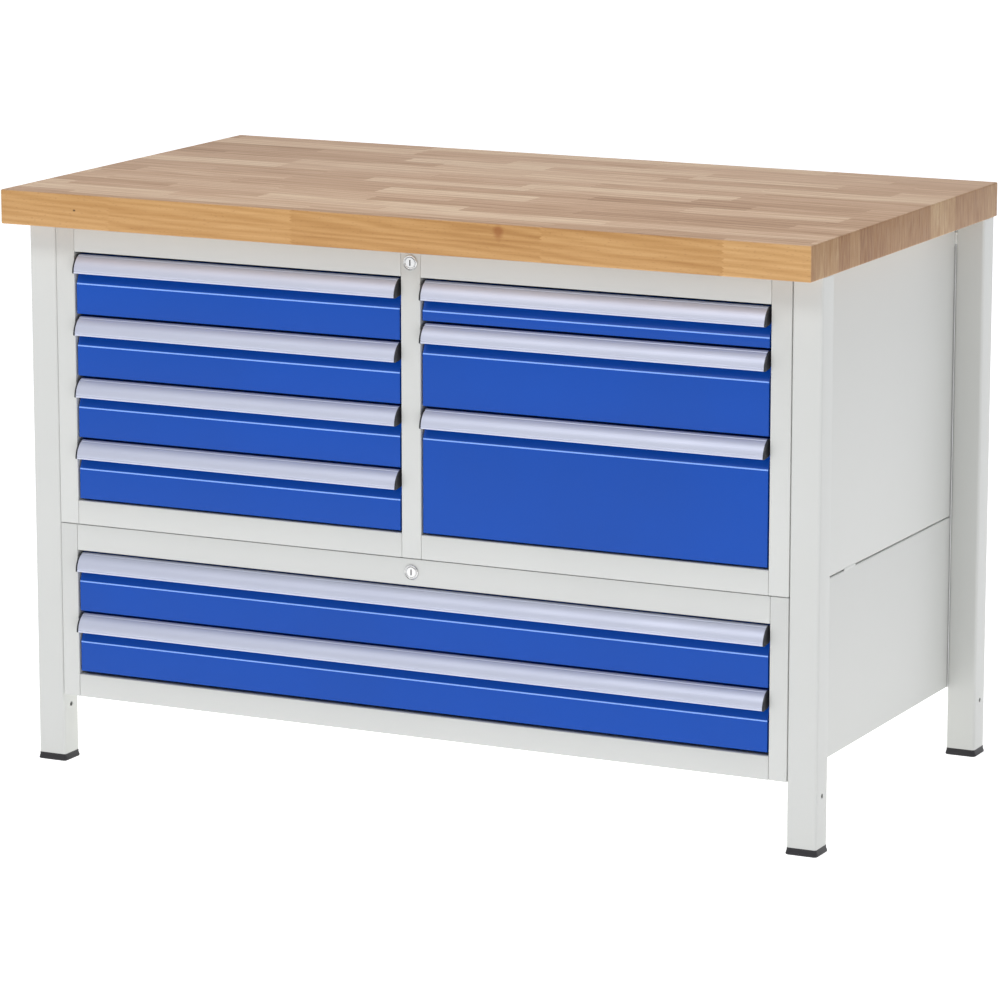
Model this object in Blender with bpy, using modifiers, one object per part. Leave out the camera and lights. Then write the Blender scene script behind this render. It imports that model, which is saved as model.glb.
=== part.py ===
# Workbench with drawers: a beech worktop on four tube legs, and two stacked drawer housings
# between them, with nine drawers. Metres, +Z up, the front faces -Y, the origin is on the
# floor under the middle of the worktop.
import math

import bmesh
import bpy

for leftover in list(bpy.data.objects):
    bpy.data.objects.remove(leftover, do_unlink=True)

MM = 0.001
FIT_GAP = 0.4 * MM              # between two pieces that touch on the real bench

# Worktop
TOP_LENGTH = 1250 * MM
TOP_DEPTH = 700 * MM
TOP_THICKNESS = 50 * MM
BENCH_HEIGHT = 845 * MM

# Legs and feet
LEG_WIDTH = 44 * MM
LEG_DEPTH = 40 * MM
LEG_WALL = 2 * MM
LEG_CORNER_RADIUS = 4 * MM
FRAME_LEFT = -607 * MM          # outer face of the left legs
FRAME_RIGHT = 623 * MM
FRAME_FRONT = -303 * MM         # front face of the legs and of the housings
FRAME_REAR = 344 * MM
FOOT_HEIGHT = 9.5 * MM
FOOT_FLARE = 1.8 * MM
FOOT_PLUG_HEIGHT = 22 * MM
LEG_HOLE_DIAMETER = 7 * MM
LEG_HOLE_HEIGHT = 82 * MM

# Housings
SHEET = 1.5 * MM
HOUSING_BOTTOM = 100.5 * MM
HOUSING_SPLIT = 357 * MM        # the joint between the lower and the upper housing
FLANGE_DEPTH = 18 * MM
STRIP = 30 * MM                 # width of the upper frame's upright strips
UPPER_OPENING_BOTTOM = 392 * MM
UPPER_OPENING_TOP = 755 * MM
LOWER_OPENING_BOTTOM = 134 * MM
LOWER_OPENING_TOP = 318.5 * MM
LOWER_STRIP = 27 * MM
SIDE_WALL_REAR = {"upper": 300.5 * MM, "lower": 302 * MM}
SIDE_TAB_HEIGHT = 40 * MM       # the upper side walls reach the rear legs along this height
BACK_PANEL_FRONT = 306 * MM

# Drawers
FRONT_GAP = 3 * MM
FRONT_RECESS = 1.5 * MM
FRONT_SHEET = 1.2 * MM
BEND_DROP = 43 * MM             # from the top of a front down to the bend under its grip
GRIP_HEIGHT = 26.5 * MM
GRIP_BACK = 5 * MM
GRIP_REACH = 11.5 * MM
GRIP_WALL = 1.8 * MM
GRIP_INSET = 5.8 * MM
TRAY_DEPTH = 556 * MM
TRAY_SIDE_CLEARANCE = 16.5 * MM
TRAY_BACK_OF_FRONT = 22 * MM
RAIL_DEPTH = 500 * MM
RAIL_START = 45 * MM
RAIL_THICKNESS = 11 * MM
RAIL_PLATE = 2 * MM
RAIL_DROP = 6 * MM              # below the middle of its drawer
RAIL_WALL_GAP = 2 * MM
RAIL_HEIGHT = 22 * MM
MODULE = 30 * MM                # drawer heights are multiples of this

# Locks
LOCK_FLANGE_RADIUS = 11 * MM
LOCK_BODY_RADIUS = 9.5 * MM
LOCK_PLUG_RADIUS = 7 * MM
LOCK_LENGTH = 26 * MM
LOCK_PROUD = 2.2 * MM

LEG_TOP = BENCH_HEIGHT - TOP_THICKNESS
INNER_LEFT = FRAME_LEFT + LEG_WIDTH
INNER_RIGHT = FRAME_RIGHT - LEG_WIDTH
MIDDLE_X = (INNER_LEFT + INNER_RIGHT) / 2

COLOURS = {
    "grey_powder_coat": ((0.70, 0.70, 0.67), 0.0, 0.45),
    "blue_powder_coat": ((0.02, 0.10, 0.48), 0.0, 0.40),
    "anodised_aluminium": ((0.74, 0.75, 0.80), 1.0, 0.35),
    "black_plastic": ((0.02, 0.02, 0.022), 0.0, 0.55),
    "solid_beech": ((0.55, 0.34, 0.17), 0.0, 0.50),
    "nickel_plated": ((0.75, 0.75, 0.76), 1.0, 0.20),
    "zinc_plated_steel": ((0.60, 0.62, 0.64), 1.0, 0.40),
}


def make_materials():
    """One Principled material for each finish."""
    made = {}
    for name, (colour, metallic, roughness) in COLOURS.items():
        material = bpy.data.materials.new(name)
        material.use_nodes = True
        shader = material.node_tree.nodes["Principled BSDF"]
        shader.inputs["Base Color"].default_value = (*colour, 1)
        shader.inputs["Metallic"].default_value = metallic
        shader.inputs["Roughness"].default_value = roughness
        made[name] = material
    return made


def make_collection(name):
    collection = bpy.data.collections.new(name)
    bpy.context.scene.collection.children.link(collection)
    return collection


MATERIALS = make_materials()
PARTS = make_collection("workbench_with_drawers")
CUTTERS = make_collection("cutters")


def add_part(name, mesh, finish, location=(0, 0, 0), rotation=(0, 0, 0), parent=None):
    part = bpy.data.objects.new(name, mesh)
    part.location = location
    part.rotation_euler = rotation
    part.parent = parent
    mesh.materials.clear()
    mesh.materials.append(MATERIALS[finish])
    PARTS.objects.link(part)
    return part


def box_mesh(low, high):
    """A cuboid between two corners."""
    shape = bmesh.new()
    bmesh.ops.create_cube(shape, size=1)
    for vert in shape.verts:
        for axis in range(3):
            middle = (low[axis] + high[axis]) / 2
            vert.co[axis] = middle + vert.co[axis] * (high[axis] - low[axis])
    mesh = bpy.data.meshes.new("box")
    shape.to_mesh(mesh)
    shape.free()
    return mesh


def curve_mesh(outlines, half_extrude, closed=True):
    """The mesh of flat outlines, filled when closed, extruded both ways along Z."""
    curve = bpy.data.curves.new("outline", "CURVE")
    curve.dimensions = "2D" if closed else "3D"
    curve.fill_mode = "BOTH" if closed else "FULL"
    curve.extrude = half_extrude
    for points in outlines:
        spline = curve.splines.new("POLY")
        spline.points.add(len(points) - 1)
        for point, (x, y) in zip(spline.points, points):
            point.co = (x, y, 0, 1)
        spline.use_cyclic_u = closed
    guide = bpy.data.objects.new("outline", curve)
    bpy.context.scene.collection.objects.link(guide)
    graph = bpy.context.evaluated_depsgraph_get()
    mesh = bpy.data.meshes.new_from_object(guide.evaluated_get(graph))
    bpy.data.objects.remove(guide, do_unlink=True)
    shape = bmesh.new()
    shape.from_mesh(mesh)
    bmesh.ops.remove_doubles(shape, verts=shape.verts, dist=0.00001)
    shape.to_mesh(mesh)
    shape.free()
    return mesh


def rectangle(x0, y0, x1, y1):
    return [(x0, y0), (x1, y0), (x1, y1), (x0, y1)]


def rounded_rectangle(width, height, radius, steps=4):
    """A centred rectangle with its corners as arcs."""
    points = []
    corners = ((1, 1), (-1, 1), (-1, -1), (1, -1))
    for quarter, (side_x, side_y) in enumerate(corners):
        for step in range(steps + 1):
            angle = (quarter + step / steps) * math.pi / 2
            x = side_x * (width / 2 - radius) + radius * math.cos(angle)
            y = side_y * (height / 2 - radius) + radius * math.sin(angle)
            points.append((x, y))
    return points


def add_cutter(name, mesh, location=(0, 0, 0), rotation=(0, 0, 0)):
    cutter = bpy.data.objects.new(name, mesh)
    cutter.location = location
    cutter.rotation_euler = rotation
    cutter.hide_render = True
    cutter.display_type = "WIRE"
    CUTTERS.objects.link(cutter)
    return cutter


def cylinder_mesh(radius, length, segments=32):
    """A cylinder centred on Z."""
    shape = bmesh.new()
    bmesh.ops.create_cone(shape, cap_ends=True, segments=segments,
                          radius1=radius, radius2=radius, depth=length)
    mesh = bpy.data.meshes.new("cylinder")
    shape.to_mesh(mesh)
    shape.free()
    return mesh


def boolean(part, cutter, operation="DIFFERENCE"):
    modifier = part.modifiers.new(operation.lower(), "BOOLEAN")
    modifier.operation = operation
    modifier.object = cutter
    modifier.solver = "EXACT"


def solidify(part, thickness, offset=-1.0):
    """Give a surface its sheet thickness; on a profile, -1 is to the right of its run."""
    modifier = part.modifiers.new("sheet", "SOLIDIFY")
    modifier.thickness = thickness
    modifier.offset = offset
    modifier.use_even_offset = True


def bevel(part, width, segments=2):
    modifier = part.modifiers.new("edges", "BEVEL")
    modifier.width = width
    modifier.segments = segments
    modifier.limit_method = "ANGLE"


def turned(name, profile, finish, location, segments=32):
    """A piece turned about Z from its (radius, height) outline, then laid to face -Y."""
    mesh = bpy.data.meshes.new(name)
    points = [(radius, 0, height) for radius, height in profile]
    edges = [(at, (at + 1) % len(points)) for at in range(len(points))]
    mesh.from_pydata(points, edges if profile[0][0] > 0 else edges[:-1], [])
    part = add_part(name, mesh, finish, location, (math.pi / 2, 0, 0))
    screw = part.modifiers.new("turn", "SCREW")
    screw.axis = "Z"
    screw.steps = segments
    screw.render_steps = segments
    screw.use_merge_vertices = True
    screw.merge_threshold = 0.00001
    return part


# ---- worktop ----

def make_worktop():
    low = (-TOP_LENGTH / 2, -TOP_DEPTH / 2, LEG_TOP + FIT_GAP)
    high = (TOP_LENGTH / 2, TOP_DEPTH / 2, BENCH_HEIGHT)
    worktop = add_part("worktop", box_mesh(low, high), "solid_beech")
    bevel(worktop, 2 * MM)


# ---- legs and feet ----

def leg_places():
    """The middle of each leg, by name."""
    rows = {"front": FRAME_FRONT + LEG_DEPTH / 2, "rear": FRAME_REAR - LEG_DEPTH / 2}
    sides = {"left": FRAME_LEFT + LEG_WIDTH / 2, "right": FRAME_RIGHT - LEG_WIDTH / 2}
    return {f"{row}_{side}": (x, y) for row, y in rows.items() for side, x in sides.items()}


def make_leg(name, x, y):
    outer = rounded_rectangle(LEG_WIDTH, LEG_DEPTH, LEG_CORNER_RADIUS)
    inner = rounded_rectangle(LEG_WIDTH - 2 * LEG_WALL, LEG_DEPTH - 2 * LEG_WALL,
                              LEG_CORNER_RADIUS - LEG_WALL)
    bottom = FOOT_HEIGHT + FIT_GAP
    mesh = curve_mesh([outer, inner], (LEG_TOP - bottom) / 2)
    leg = add_part(f"{name}_leg", mesh, "grey_powder_coat", (x, y, (LEG_TOP + bottom) / 2))
    drill = cylinder_mesh(LEG_HOLE_DIAMETER / 2, 2 * LEG_WIDTH, 24)
    place = (x, y, LEG_HOLE_HEIGHT)
    boolean(leg, add_cutter(f"{name}_leg_drill", drill, place, (0, math.pi / 2, 0)))


def make_foot(name, x, y):
    """A plastic cap that flares out to the floor, with a plug up inside the tube."""
    half_width = LEG_WIDTH / 2 + FOOT_FLARE
    half_depth = LEG_DEPTH / 2 + FOOT_FLARE
    mesh = box_mesh((-half_width, -half_depth, 0), (half_width, half_depth, FOOT_HEIGHT))
    for vert in mesh.vertices:
        if vert.co.z > FOOT_HEIGHT / 2:
            vert.co.x *= LEG_WIDTH / 2 / half_width
            vert.co.y *= LEG_DEPTH / 2 / half_depth
    foot = add_part(f"{name}_foot", mesh, "black_plastic", (x, y, 0))
    plug_x = LEG_WIDTH / 2 - LEG_WALL - FIT_GAP
    plug_y = LEG_DEPTH / 2 - LEG_WALL - FIT_GAP
    plug = box_mesh((-plug_x, -plug_y, FOOT_HEIGHT / 2),
                    (plug_x, plug_y, FOOT_HEIGHT + FOOT_PLUG_HEIGHT))
    plug_corner = LEG_CORNER_RADIUS - LEG_WALL
    cutter = add_cutter(f"{name}_foot_plug", plug, (x, y, 0))
    bevel(cutter, plug_corner)
    boolean(foot, cutter, "UNION")


# ---- housings ----

def make_housing(level, bottom, top):
    """A box of folded sheet, open at the front, with the back panel set behind it."""
    left = INNER_LEFT + FIT_GAP
    right = INNER_RIGHT - FIT_GAP
    front = FRAME_FRONT + FLANGE_DEPTH + FIT_GAP
    mesh = box_mesh((left, front, bottom), (right, SIDE_WALL_REAR[level], top))
    shape = bmesh.new()
    shape.from_mesh(mesh)
    open_faces = [face for face in shape.faces if abs(face.normal.y) > 0.5]
    bmesh.ops.delete(shape, geom=open_faces, context="FACES_ONLY")
    shape.to_mesh(mesh)
    shape.free()
    housing = add_part(f"{level}_housing", mesh, "grey_powder_coat")
    solidify(housing, SHEET)
    if level == "upper":
        for side, outer in (("left", left), ("right", right - SHEET)):
            low = (outer, SIDE_WALL_REAR[level] - 10 * MM, top - SIDE_TAB_HEIGHT)
            high = (outer + SHEET, FRAME_REAR - LEG_DEPTH - FIT_GAP, top)
            tab = add_cutter(f"{side}_side_tab", box_mesh(low, high))
            boolean(housing, tab, "UNION")
    low = (left, BACK_PANEL_FRONT, bottom)
    high = (right, BACK_PANEL_FRONT + SHEET, top)
    add_part(f"{level}_back_panel", box_mesh(low, high), "grey_powder_coat")


def fold_flanges(name, outlines, lock_place):
    """A sheet face with flanges folded back around its edge and its openings."""
    mesh = curve_mesh(outlines, 0)
    shape = bmesh.new()
    shape.from_mesh(mesh)
    rim = [edge for edge in shape.edges if edge.is_boundary]
    grown = bmesh.ops.extrude_edge_only(shape, edges=rim)["geom"]
    moved = [item for item in grown if isinstance(item, bmesh.types.BMVert)]
    bmesh.ops.translate(shape, verts=moved, vec=(0, 0, -FLANGE_DEPTH))
    bmesh.ops.recalc_face_normals(shape, faces=shape.faces)
    if max(shape.faces, key=lambda face: face.calc_area()).normal.z < 0:
        bmesh.ops.reverse_faces(shape, faces=shape.faces)
    shape.to_mesh(mesh)
    shape.free()
    part = add_part(name, mesh, "grey_powder_coat", (0, FRAME_FRONT, 0), (math.pi / 2, 0, 0))
    solidify(part, SHEET)
    if lock_place:
        drill = cylinder_mesh(LOCK_BODY_RADIUS + FIT_GAP, 8 * MM)
        place = (lock_place[0], FRAME_FRONT, lock_place[1])
        boolean(part, add_cutter(f"{name}_drill", drill, place, (math.pi / 2, 0, 0)))


def make_upper_frame(bottom, top, openings, lock_place):
    """The upper housing's strips and rails, welded into one piece."""
    outlines = [rectangle(INNER_LEFT + FIT_GAP, bottom, INNER_RIGHT - FIT_GAP, top)]
    outlines += [rectangle(*opening) for opening in openings]
    fold_flanges("upper_front_frame", outlines, lock_place)


def make_lower_frame(bottom, top, opening, lock_place):
    """The lower housing's two upright strips, and the two rails butted between them."""
    left, sill, right, head = opening
    strips = {"left": (INNER_LEFT + FIT_GAP, left), "right": (right, INNER_RIGHT - FIT_GAP)}
    for side, (start, end) in strips.items():
        fold_flanges(f"lower_{side}_strip", [rectangle(start, bottom, end, top)], None)
    start = left + FIT_GAP
    end = right - FIT_GAP
    fold_flanges("lower_bottom_rail", [rectangle(start, bottom, end, sill)], None)
    fold_flanges("lower_top_rail", [rectangle(start, head, end, top)], lock_place)


def make_centre_divider(left, right):
    """A folded channel that carries the rails between the two upper banks."""
    front = FRAME_FRONT + FLANGE_DEPTH + FIT_GAP
    rear = SIDE_WALL_REAR["upper"]
    low = HOUSING_SPLIT + 2 * SHEET
    high = UPPER_OPENING_TOP + 4 * MM      # clear of the lock barrel above it
    profile = [(left, rear), (left, front), (right, front), (right, rear)]
    mesh = curve_mesh([profile], (high - low) / 2, closed=False)
    divider = add_part("centre_divider", mesh, "grey_powder_coat", (0, 0, (low + high) / 2))
    solidify(divider, SHEET, 1.0)


def make_lock(level, x, z):
    """A pin cylinder lock: the fixed barrel, and the plug that the key turns."""
    place = (x, FRAME_FRONT, z)
    bore = LOCK_PLUG_RADIUS + FIT_GAP
    barrel = [(LOCK_FLANGE_RADIUS, FIT_GAP), (LOCK_BODY_RADIUS, FIT_GAP),
              (LOCK_BODY_RADIUS, -LOCK_LENGTH), (bore, -LOCK_LENGTH),
              (bore, LOCK_PROUD), (LOCK_FLANGE_RADIUS - 1 * MM, LOCK_PROUD),
              (LOCK_FLANGE_RADIUS, LOCK_PROUD - 1 * MM)]
    turned(f"{level}_lock_barrel", barrel, "nickel_plated", place)
    plug_face = LOCK_PROUD - 0.6 * MM
    plug = [(0, plug_face), (LOCK_PLUG_RADIUS, plug_face),
            (LOCK_PLUG_RADIUS, -LOCK_LENGTH), (0, -LOCK_LENGTH)]
    part = turned(f"{level}_lock_plug", plug, "nickel_plated", place)
    slot = box_mesh((-0.9 * MM, -4 * MM, -12 * MM), (0.9 * MM, 4 * MM, 5 * MM))
    boolean(part, add_cutter(f"{level}_keyway", slot, place, (math.pi / 2, 0, 0)))


# ---- drawers ----

def runner_outline(side, bottom, top, rail_heights):
    """A mounting plate seen end on, with a runner standing out of it for each drawer."""
    half = RAIL_THICKNESS / 2
    face = half - RAIL_PLATE
    points = [(half, bottom), (half, top), (face, top)]
    for height in sorted(rail_heights, reverse=True):
        above = height + RAIL_HEIGHT / 2
        below = height - RAIL_HEIGHT / 2
        points += [(face, above), (-half, above), (-half, below), (face, below)]
    points.append((face, bottom))
    away = -1 if side == "left" else 1
    return [(away * x, z) for x, z in points]


def make_rails(bank, side, x, bottom, top, rail_heights):
    outline = runner_outline(side, bottom, top, rail_heights)
    mesh = curve_mesh([outline], RAIL_DEPTH / 2)
    place = (x, FRAME_FRONT + RAIL_START + RAIL_DEPTH / 2, 0)
    add_part(f"{bank}_{side}_rails", mesh, "zinc_plated_steel", place, (math.pi / 2, 0, 0))


def make_drawer_front(name, width, height, parent):
    """Folded sheet: a flat face, a finger recess sloping back, and stiffening returns."""
    face = FRONT_RECESS
    recess = face + 7.5 * MM
    profile = [(face + 11 * MM, -height), (face, -height), (face, -BEND_DROP),
               (recess, -GRIP_HEIGHT), (recess, -1 * MM), (recess + 10 * MM, -1 * MM)]
    mesh = curve_mesh([profile], width / 2, closed=False)
    part = add_part(f"{name}_front", mesh, "blue_powder_coat", (0, 0, 0),
                    (math.pi / 2, 0, math.pi / 2), parent)
    solidify(part, FRONT_SHEET)


def grip_outline():
    """Seen from the side: an arc that ends upright at its lower edge, and a fixing leg."""
    drop = GRIP_HEIGHT - 1 * MM
    depth = GRIP_BACK + GRIP_REACH
    sweep = 2 * math.atan(depth / drop)
    radius = drop / math.sin(sweep)
    centre_y = radius - GRIP_REACH
    centre_z = -GRIP_HEIGHT
    steps = 8
    angles = [sweep * (1 - step / steps) for step in range(steps + 1)]
    outer = [(centre_y - radius * math.cos(angle), centre_z + radius * math.sin(angle))
             for angle in angles]
    inner_radius = radius - GRIP_WALL
    inner = [(centre_y - inner_radius * math.cos(angle),
              centre_z + inner_radius * math.sin(angle)) for angle in reversed(angles)]
    back = FRONT_RECESS + 7.5 * MM - FIT_GAP
    leg_front = back - GRIP_WALL
    top = outer[0][1]
    lip = [(-GRIP_REACH + 3.5 * MM, centre_z), (-GRIP_REACH + 3.5 * MM, centre_z + 1.2 * MM),
           (-GRIP_REACH + GRIP_WALL, centre_z + 1.2 * MM)]
    leg = [(leg_front, top - GRIP_WALL), (leg_front, top - 20 * MM), (back, top - 20 * MM),
           (back, top)]
    return outer + lip + inner[1:-1] + leg


def make_grip(name, width, parent):
    mesh = curve_mesh([grip_outline()], width / 2)
    add_part(f"{name}_grip", mesh, "anodised_aluminium", (0, 0, 0),
             (math.pi / 2, 0, math.pi / 2), parent)


def make_tray(name, width, height, parent):
    """An open box of folded sheet behind the front."""
    low = (-width / 2, TRAY_BACK_OF_FRONT, -height + 6 * MM)
    high = (width / 2, TRAY_BACK_OF_FRONT + TRAY_DEPTH, -16 * MM)
    mesh = box_mesh(low, high)
    shape = bmesh.new()
    shape.from_mesh(mesh)
    lid = [face for face in shape.faces if face.normal.z > 0.5]
    bmesh.ops.delete(shape, geom=lid, context="FACES_ONLY")
    shape.to_mesh(mesh)
    shape.free()
    tray = add_part(f"{name}_tray", mesh, "grey_powder_coat", (0, 0, 0), (0, 0, 0), parent)
    solidify(tray, FRONT_SHEET)


def make_drawer(name, opening, top, height):
    """One drawer, under an empty in the middle of its front's top edge."""
    left, _, right, _ = opening
    origin = bpy.data.objects.new(f"{name}_origin", None)
    origin.location = ((left + right) / 2, FRAME_FRONT, top)
    PARTS.objects.link(origin)
    width = right - left
    make_drawer_front(name, width - 2 * FRONT_GAP, height, origin)
    make_grip(name, width - 2 * GRIP_INSET, origin)
    make_tray(name, width - 2 * TRAY_SIDE_CLEARANCE, height, origin)


def make_bank(bank, opening, modules):
    """The drawers of one opening from the top down, and the rails on its two sides."""
    left, bottom, right, top = opening
    drawer_top = top - FRONT_GAP
    rail_heights = []
    for number, modules_high in enumerate(modules, start=1):
        height = modules_high * MODULE - FRONT_GAP
        make_drawer(f"{bank}_drawer_{number}", opening, drawer_top, height)
        rail_heights.append(drawer_top - height / 2 - RAIL_DROP)
        drawer_top -= modules_high * MODULE
    inset = RAIL_THICKNESS / 2 + RAIL_WALL_GAP
    make_rails(bank, "left", left + inset, bottom, top, rail_heights)
    make_rails(bank, "right", right - inset, bottom, top, rail_heights)


def make_lock_bar(bank, x, bottom, top, modules):
    """A flat bar behind the front frame with a hook above each drawer's runner."""
    near = FRAME_FRONT + 24 * MM
    points = [(near + 12 * MM, bottom), (near, bottom), (near, top), (near + 12 * MM, top)]
    hook_top = top - 20 * MM
    for modules_high in modules:
        points += [(near + 12 * MM, hook_top), (near + 18 * MM, hook_top),
                   (near + 18 * MM, hook_top - 5 * MM), (near + 12 * MM, hook_top - 5 * MM)]
        hook_top -= modules_high * MODULE
    mesh = curve_mesh([points], 1 * MM)
    add_part(f"{bank}_lock_bar", mesh, "zinc_plated_steel", (x, 0, 0),
             (math.pi / 2, 0, math.pi / 2))


def build():
    make_worktop()
    for name, (x, y) in leg_places().items():
        make_leg(name, x, y)
        make_foot(name, x, y)

    half_strip = STRIP / 2
    banks = {
        "left": ((INNER_LEFT + STRIP, UPPER_OPENING_BOTTOM,
                  MIDDLE_X - half_strip, UPPER_OPENING_TOP), (3, 3, 3, 3)),
        "right": ((MIDDLE_X + half_strip, UPPER_OPENING_BOTTOM,
                   INNER_RIGHT - STRIP, UPPER_OPENING_TOP), (2, 4, 6)),
        "lower": ((INNER_LEFT + LOWER_STRIP, LOWER_OPENING_BOTTOM,
                   INNER_RIGHT - LOWER_STRIP, LOWER_OPENING_TOP), (3, 3)),
    }
    upper_lock = (MIDDLE_X, (UPPER_OPENING_TOP + LEG_TOP) / 2)
    lower_lock = (MIDDLE_X, (LOWER_OPENING_TOP + HOUSING_SPLIT) / 2)
    split_low = HOUSING_SPLIT - FIT_GAP
    top = LEG_TOP - FIT_GAP
    make_housing("upper", HOUSING_SPLIT, top)
    make_housing("lower", HOUSING_BOTTOM, split_low)
    make_upper_frame(HOUSING_SPLIT, top, [banks["left"][0], banks["right"][0]], upper_lock)
    make_lower_frame(HOUSING_BOTTOM, split_low, banks["lower"][0], lower_lock)
    make_centre_divider(MIDDLE_X - half_strip + SHEET, MIDDLE_X + half_strip - SHEET)
    make_lock("upper", *upper_lock)
    make_lock("lower", *lower_lock)
    for bank, (opening, modules) in banks.items():
        make_bank(bank, opening, modules)
    bar_inset = 5 * MM
    for bank, (opening, modules) in banks.items():
        x = opening[2] - bar_inset if bank == "left" else opening[0] + bar_inset
        make_lock_bar(bank, x, opening[1] + 12 * MM, opening[3] - 4 * MM, modules)


build()
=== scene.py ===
import math

import bmesh
import bpy
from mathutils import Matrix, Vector


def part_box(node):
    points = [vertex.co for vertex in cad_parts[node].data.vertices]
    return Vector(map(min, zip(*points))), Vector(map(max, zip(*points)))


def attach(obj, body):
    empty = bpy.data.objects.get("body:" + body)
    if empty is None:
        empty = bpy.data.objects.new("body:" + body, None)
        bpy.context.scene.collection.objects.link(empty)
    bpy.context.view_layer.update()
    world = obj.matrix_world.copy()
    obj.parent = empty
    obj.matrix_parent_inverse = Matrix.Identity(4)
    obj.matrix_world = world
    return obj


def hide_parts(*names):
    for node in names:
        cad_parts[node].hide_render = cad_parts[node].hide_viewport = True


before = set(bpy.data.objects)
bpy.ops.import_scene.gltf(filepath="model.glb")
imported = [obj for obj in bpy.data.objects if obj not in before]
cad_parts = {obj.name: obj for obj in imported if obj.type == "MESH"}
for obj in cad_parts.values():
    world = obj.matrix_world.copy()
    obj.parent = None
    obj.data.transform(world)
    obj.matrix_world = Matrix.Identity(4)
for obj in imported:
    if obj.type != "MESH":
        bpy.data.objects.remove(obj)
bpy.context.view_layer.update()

MM = 0.001

# ---- Worktop ----
# A 50 mm slab of steamed beech, glued up from staves about 44 mm wide that are themselves
# finger-jointed end to end. It is planed, its edges are broken by 2 mm, and it is oiled.

STAVE_WIDTH = 43.75 * MM
STAVE_LENGTH = 330 * MM
FRONT_JOINTS = (-445 * MM, -152 * MM, 232 * MM, 500 * MM)
FINGER_PITCH = 4.2 * MM
FINGER_LENGTH = 4.5 * MM
KNOT_PLACE = (166 * MM, -350 * MM, 834 * MM)
SPECK_PLACE = (-503 * MM, -350 * MM, 822 * MM)


def linear_colour(hex_code):
    """An sRGB hex colour as the linear colour that shaders take."""
    levels = [int(hex_code[at:at + 2], 16) / 255 for at in (1, 3, 5)]
    curve = [v / 12.92 if v <= 0.04045 else ((v + 0.055) / 1.055) ** 2.4 for v in levels]
    return (*curve, 1.0)


def add_node(tree, kind, sockets=None, **settings):
    """Add a node. sockets gives each input a value, or the output that feeds it."""
    node = tree.nodes.new(kind)
    for name, value in settings.items():
        setattr(node, name, value)
    for socket, value in (sockets or {}).items():
        if isinstance(value, bpy.types.NodeSocket):
            tree.links.new(value, node.inputs[socket])
        else:
            node.inputs[socket].default_value = value
    return node


def start_material(name, **constants):
    """A Principled material, with what is the same all over set on the shader itself."""
    material = bpy.data.materials.new(name)
    material.use_nodes = True
    tree = material.node_tree
    shader = tree.nodes["Principled BSDF"]
    for socket, value in constants.items():
        shader.inputs[socket.replace("_", " ")].default_value = value
    place = add_node(tree, "ShaderNodeTexCoord").outputs["Object"]
    return material, tree, shader, place


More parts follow.
